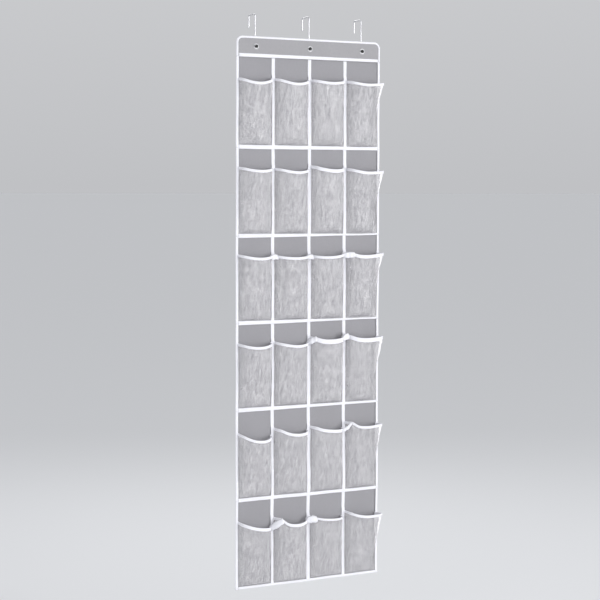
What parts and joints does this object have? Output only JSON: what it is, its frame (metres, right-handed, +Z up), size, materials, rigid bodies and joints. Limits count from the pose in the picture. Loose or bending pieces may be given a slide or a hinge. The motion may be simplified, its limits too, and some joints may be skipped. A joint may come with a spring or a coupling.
{
  "type": "over-door shoe organizer",
  "caption": "Hanging over-the-door shoe organizer: grey fabric panel with rows of clear film pockets, white bindings, and wire hooks through eyelets.",
  "frame": {"origin": "middle of the centre hook's bridge, where its underside sits on the door's top edge", "axes": "+Z up, the organizer's front faces -Y, the door lies between the hooks' legs, +X across the door to the right as seen from the front"},
  "size_m": [0.483, 0.0888, 1.693],
  "materials": {
    "grey_fabric": "matte",
    "header_fabric": "matte",
    "white_binding": "matte",
    "clear_film": "gloss",
    "hook_steel": "polished",
    "black_vinyl": "satin",
    "eyelet_metal": "satin",
    "stiffener_board": "matte"
  },
  "bodies": {
    "hook_centre": {"hook_wire_centre": "hook_steel", "hook_cap_centre": "black_vinyl"},
    "header": {"header_panel": "grey_fabric", "header_facing": "header_fabric", "header_stiffener": "stiffener_board", "header_binding": "white_binding", "header_seam_tape": "white_binding", "eyelet_left": "eyelet_metal", "eyelet_washer_left": "eyelet_metal", "eyelet_centre": "eyelet_metal", "eyelet_washer_centre": "eyelet_metal", "eyelet_right": "eyelet_metal", "eyelet_washer_right": "eyelet_metal"},
    "hook_left": {"hook_wire_left": "hook_steel", "hook_cap_left": "black_vinyl"},
    "hook_right": {"hook_wire_right": "hook_steel", "hook_cap_right": "black_vinyl"},
    "row_1": {"row_1_panel": "grey_fabric", "row_1_pocket_film": "clear_film", "row_1_mouth_binding": "white_binding", "row_1_tape_grid": "white_binding", "row_1_edge_left": "white_binding", "row_1_edge_right": "white_binding"},
    "row_2": {"row_2_panel": "grey_fabric", "row_2_pocket_film": "clear_film", "row_2_mouth_binding": "white_binding", "row_2_tape_grid": "white_binding", "row_2_edge_left": "white_binding", "row_2_edge_right": "white_binding"},
    "row_3": {"row_3_panel": "grey_fabric", "row_3_pocket_film": "clear_film", "row_3_mouth_binding": "white_binding", "row_3_tape_grid": "white_binding", "row_3_edge_left": "white_binding", "row_3_edge_right": "white_binding"},
    "row_4": {"row_4_panel": "grey_fabric", "row_4_pocket_film": "clear_film", "row_4_mouth_binding": "white_binding", "row_4_tape_grid": "white_binding", "row_4_edge_left": "white_binding", "row_4_edge_right": "white_binding"},
    "row_5": {"row_5_panel": "grey_fabric", "row_5_pocket_film": "clear_film", "row_5_mouth_binding": "white_binding", "row_5_tape_grid": "white_binding", "row_5_edge_left": "white_binding", "row_5_edge_right": "white_binding"},
    "row_6": {"row_6_panel": "grey_fabric", "row_6_pocket_film": "clear_film", "row_6_mouth_binding": "white_binding", "row_6_tape_grid": "white_binding", "row_6_edge_left": "white_binding", "row_6_edge_right": "white_binding"}
  },
  "joints": [
    {"name": "header_pivot", "type": "hinge", "parent": "hook_centre", "child": "header", "pos_m": [0, -0.0262, -0.093], "axis": [1, 0, 0], "range_deg": [0, 20]},
    {"name": "hook_left_pivot", "type": "hinge", "parent": "header", "child": "hook_left", "pos_m": [-0.178, -0.0262, -0.093], "axis": [1, 0, 0], "range_deg": [-20, 0]},
    {"name": "hook_right_pivot", "type": "hinge", "parent": "header", "child": "hook_right", "pos_m": [0.178, -0.0262, -0.093], "axis": [1, 0, 0], "range_deg": [-20, 0]},
    {"name": "row_1_fold", "type": "hinge", "parent": "header", "child": "row_1", "pos_m": [0, -0.029, -0.1257], "axis": [-1, 0, 0], "range_deg": [0, 45]},
    {"name": "row_2_fold", "type": "hinge", "parent": "row_1", "child": "row_2", "pos_m": [0, -0.02825, -0.3927], "axis": [-1, 0, 0], "range_deg": [0, 45]},
    {"name": "row_3_fold", "type": "hinge", "parent": "row_2", "child": "row_3", "pos_m": [0, -0.02825, -0.6527], "axis": [-1, 0, 0], "range_deg": [0, 45]},
    {"name": "row_4_fold", "type": "hinge", "parent": "row_3", "child": "row_4", "pos_m": [0, -0.02825, -0.9087], "axis": [-1, 0, 0], "range_deg": [0, 45]},
    {"name": "row_5_fold", "type": "hinge", "parent": "row_4", "child": "row_5", "pos_m": [0, -0.02825, -1.1647], "axis": [-1, 0, 0], "range_deg": [0, 45]},
    {"name": "row_6_fold", "type": "hinge", "parent": "row_5", "child": "row_6", "pos_m": [0, -0.02825, -1.4307], "axis": [-1, 0, 0], "range_deg": [0, 45]}
  ],
  "couplings": [
    {"joint": "hook_left_pivot", "follows": "header_pivot", "ratio": -1},
    {"joint": "hook_right_pivot", "follows": "header_pivot", "ratio": -1}
  ]
}
